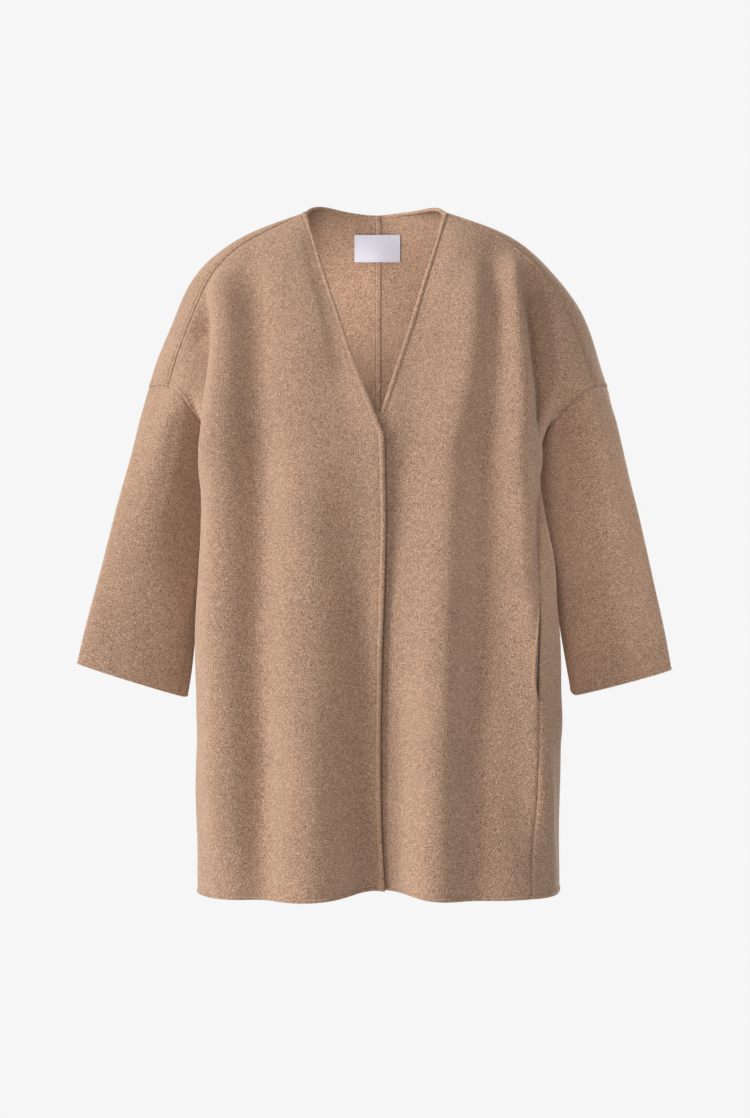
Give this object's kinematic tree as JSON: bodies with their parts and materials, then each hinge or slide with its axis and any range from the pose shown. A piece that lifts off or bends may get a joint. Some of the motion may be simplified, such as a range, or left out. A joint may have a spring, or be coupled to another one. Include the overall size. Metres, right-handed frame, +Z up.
{
  "type": "coat",
  "caption": "Collarless wool coat with a V neck, lapped fronts, dropped shoulders, straight sleeves and pockets in its side seams, hollow as it is worn.",
  "frame": {"origin": "middle of the neck opening at the height of the shoulder seams' neck ends, where the wearer's shoulders hold the coat", "axes": "+Z up, -Y to the front, +X to the wearer's left"},
  "size_m": [0.7895, 0.2826, 0.9122],
  "materials": {
    "wool": "felted, matt",
    "label_satin": "satin"
  },
  "bodies": {
    "root": {"front_right": "wool", "front_left": "wool", "back_right": "wool", "back_left": "wool", "sleeve_right": "wool", "sleeve_left": "wool", "pocket_front_right": "wool", "pocket_back_right": "wool", "pocket_front_left": "wool", "pocket_back_left": "wool", "label": "label_satin"}
  },
  "joints": []
}
